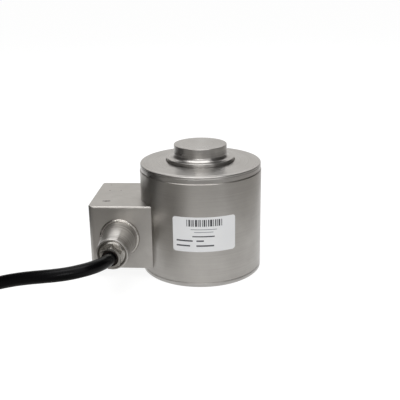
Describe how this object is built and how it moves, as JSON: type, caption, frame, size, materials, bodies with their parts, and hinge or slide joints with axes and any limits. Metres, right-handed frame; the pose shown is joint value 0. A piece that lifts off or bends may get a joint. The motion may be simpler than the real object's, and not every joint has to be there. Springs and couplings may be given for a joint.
{
  "type": "strain gauge load cell",
  "caption": "Welded canister load cell with a flat load button, a tapped base, a side cable block with a clamped gland, and a coiled cable with bared ends.",
  "frame": {"origin": "centre of the base face, on the load axis", "axes": "+Z from the base to the load button along the load axis; -X towards the cable block; -Y the way the cable gland points"},
  "size_m": [0.3483, 0.161, 0.0871],
  "materials": {
    "machined_steel": "fine turned",
    "satin_steel": "satin",
    "nut_steel": "bright turned",
    "weld_metal": "bright as welded",
    "gauge_foil": "smooth film",
    "copper_pads": "satin",
    "spacer_plastic": "matte",
    "circuit_board": "satin",
    "screw_steel": "bright",
    "resistor_body": "satin",
    "bobbin": "matte",
    "sleeve_plastic": "waxy",
    "seal_rubber": "matte",
    "sealing_resin": "cast",
    "label_film": "satin film",
    "cable_jacket": "soft gloss",
    "tie_plastic": "satin",
    "shrink_sleeve": "matte",
    "red_insulation": "smooth",
    "black_insulation": "smooth",
    "green_insulation": "smooth",
    "white_insulation": "smooth",
    "tinned_braid": "tinned wire"
  },
  "bodies": {
    "root": {"load_column": "machined_steel", "axial_gauges": "gauge_foil", "poisson_gauges": "gauge_foil", "solder_tabs": "copper_pads", "board_spacers": "spacer_plastic", "ring_board": "circuit_board", "board_screws": "screw_steel", "trim_resistors": "resistor_body", "span_resistors": "bobbin", "bridge_wires": "red_insulation", "housing_tube": "satin_steel", "base_weld": "weld_metal", "inner_diaphragm": "machined_steel", "top_cover": "machined_steel", "cover_weld": "weld_metal", "seal_ring": "machined_steel", "junction_block": "satin_steel", "wire_sleeve": "sleeve_plastic", "gland_body": "satin_steel", "gland_weld": "weld_metal", "gland_seal": "seal_rubber", "gland_nut": "nut_steel", "red_core": "red_insulation", "black_core": "black_insulation", "green_core": "green_insulation", "white_core": "white_insulation", "sealing_compound": "sealing_resin", "label": "label_film", "cable_run": "cable_jacket", "cable_coil": "cable_jacket", "cable_tail": "cable_jacket", "coil_ties": "tie_plastic", "end_sleeve": "shrink_sleeve", "red_lead": "red_insulation", "black_lead": "black_insulation", "green_lead": "green_insulation", "white_lead": "white_insulation", "shield_lead": "tinned_braid"}
  },
  "joints": []
}
